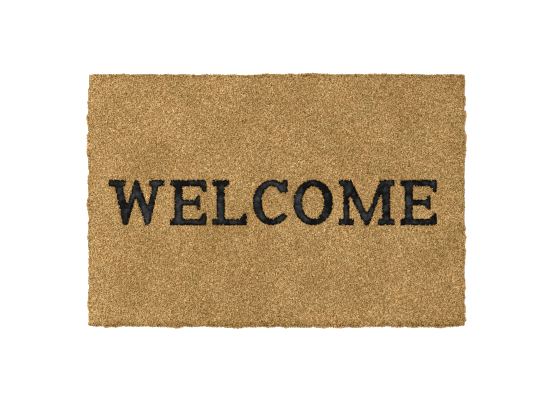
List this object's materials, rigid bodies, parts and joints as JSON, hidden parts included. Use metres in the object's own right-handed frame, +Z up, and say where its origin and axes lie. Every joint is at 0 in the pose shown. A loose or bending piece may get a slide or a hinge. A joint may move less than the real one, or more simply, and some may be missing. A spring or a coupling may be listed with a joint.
{
  "type": "door mat",
  "caption": "Rectangular coir door mat with black rubber greeting letters set into the cut pile, on a ribbed rubber backing sheet.",
  "frame": {"origin": "centre of the mat's underside, on the surface it lies on", "axes": "+X along the long side, the way the word is read; +Y across the mat, towards the tops of the letters; +Z up, out of the pile"},
  "size_m": [0.9, 0.6, 0.017],
  "materials": {
    "coir": "dense cut coconut fibre, matt, golden brown",
    "letters": "smooth moulded black rubber, satin",
    "backing": "ribbed black rubber, matt"
  },
  "bodies": {
    "root": {"backing_sheet": "backing", "coir_pile": "coir", "coir_pile_inside_o": "coir", "letter_w": "letters", "letter_e_first": "letters", "letter_l": "letters", "letter_c": "letters", "letter_o": "letters", "letter_m": "letters", "letter_e_last": "letters"}
  },
  "joints": []
}
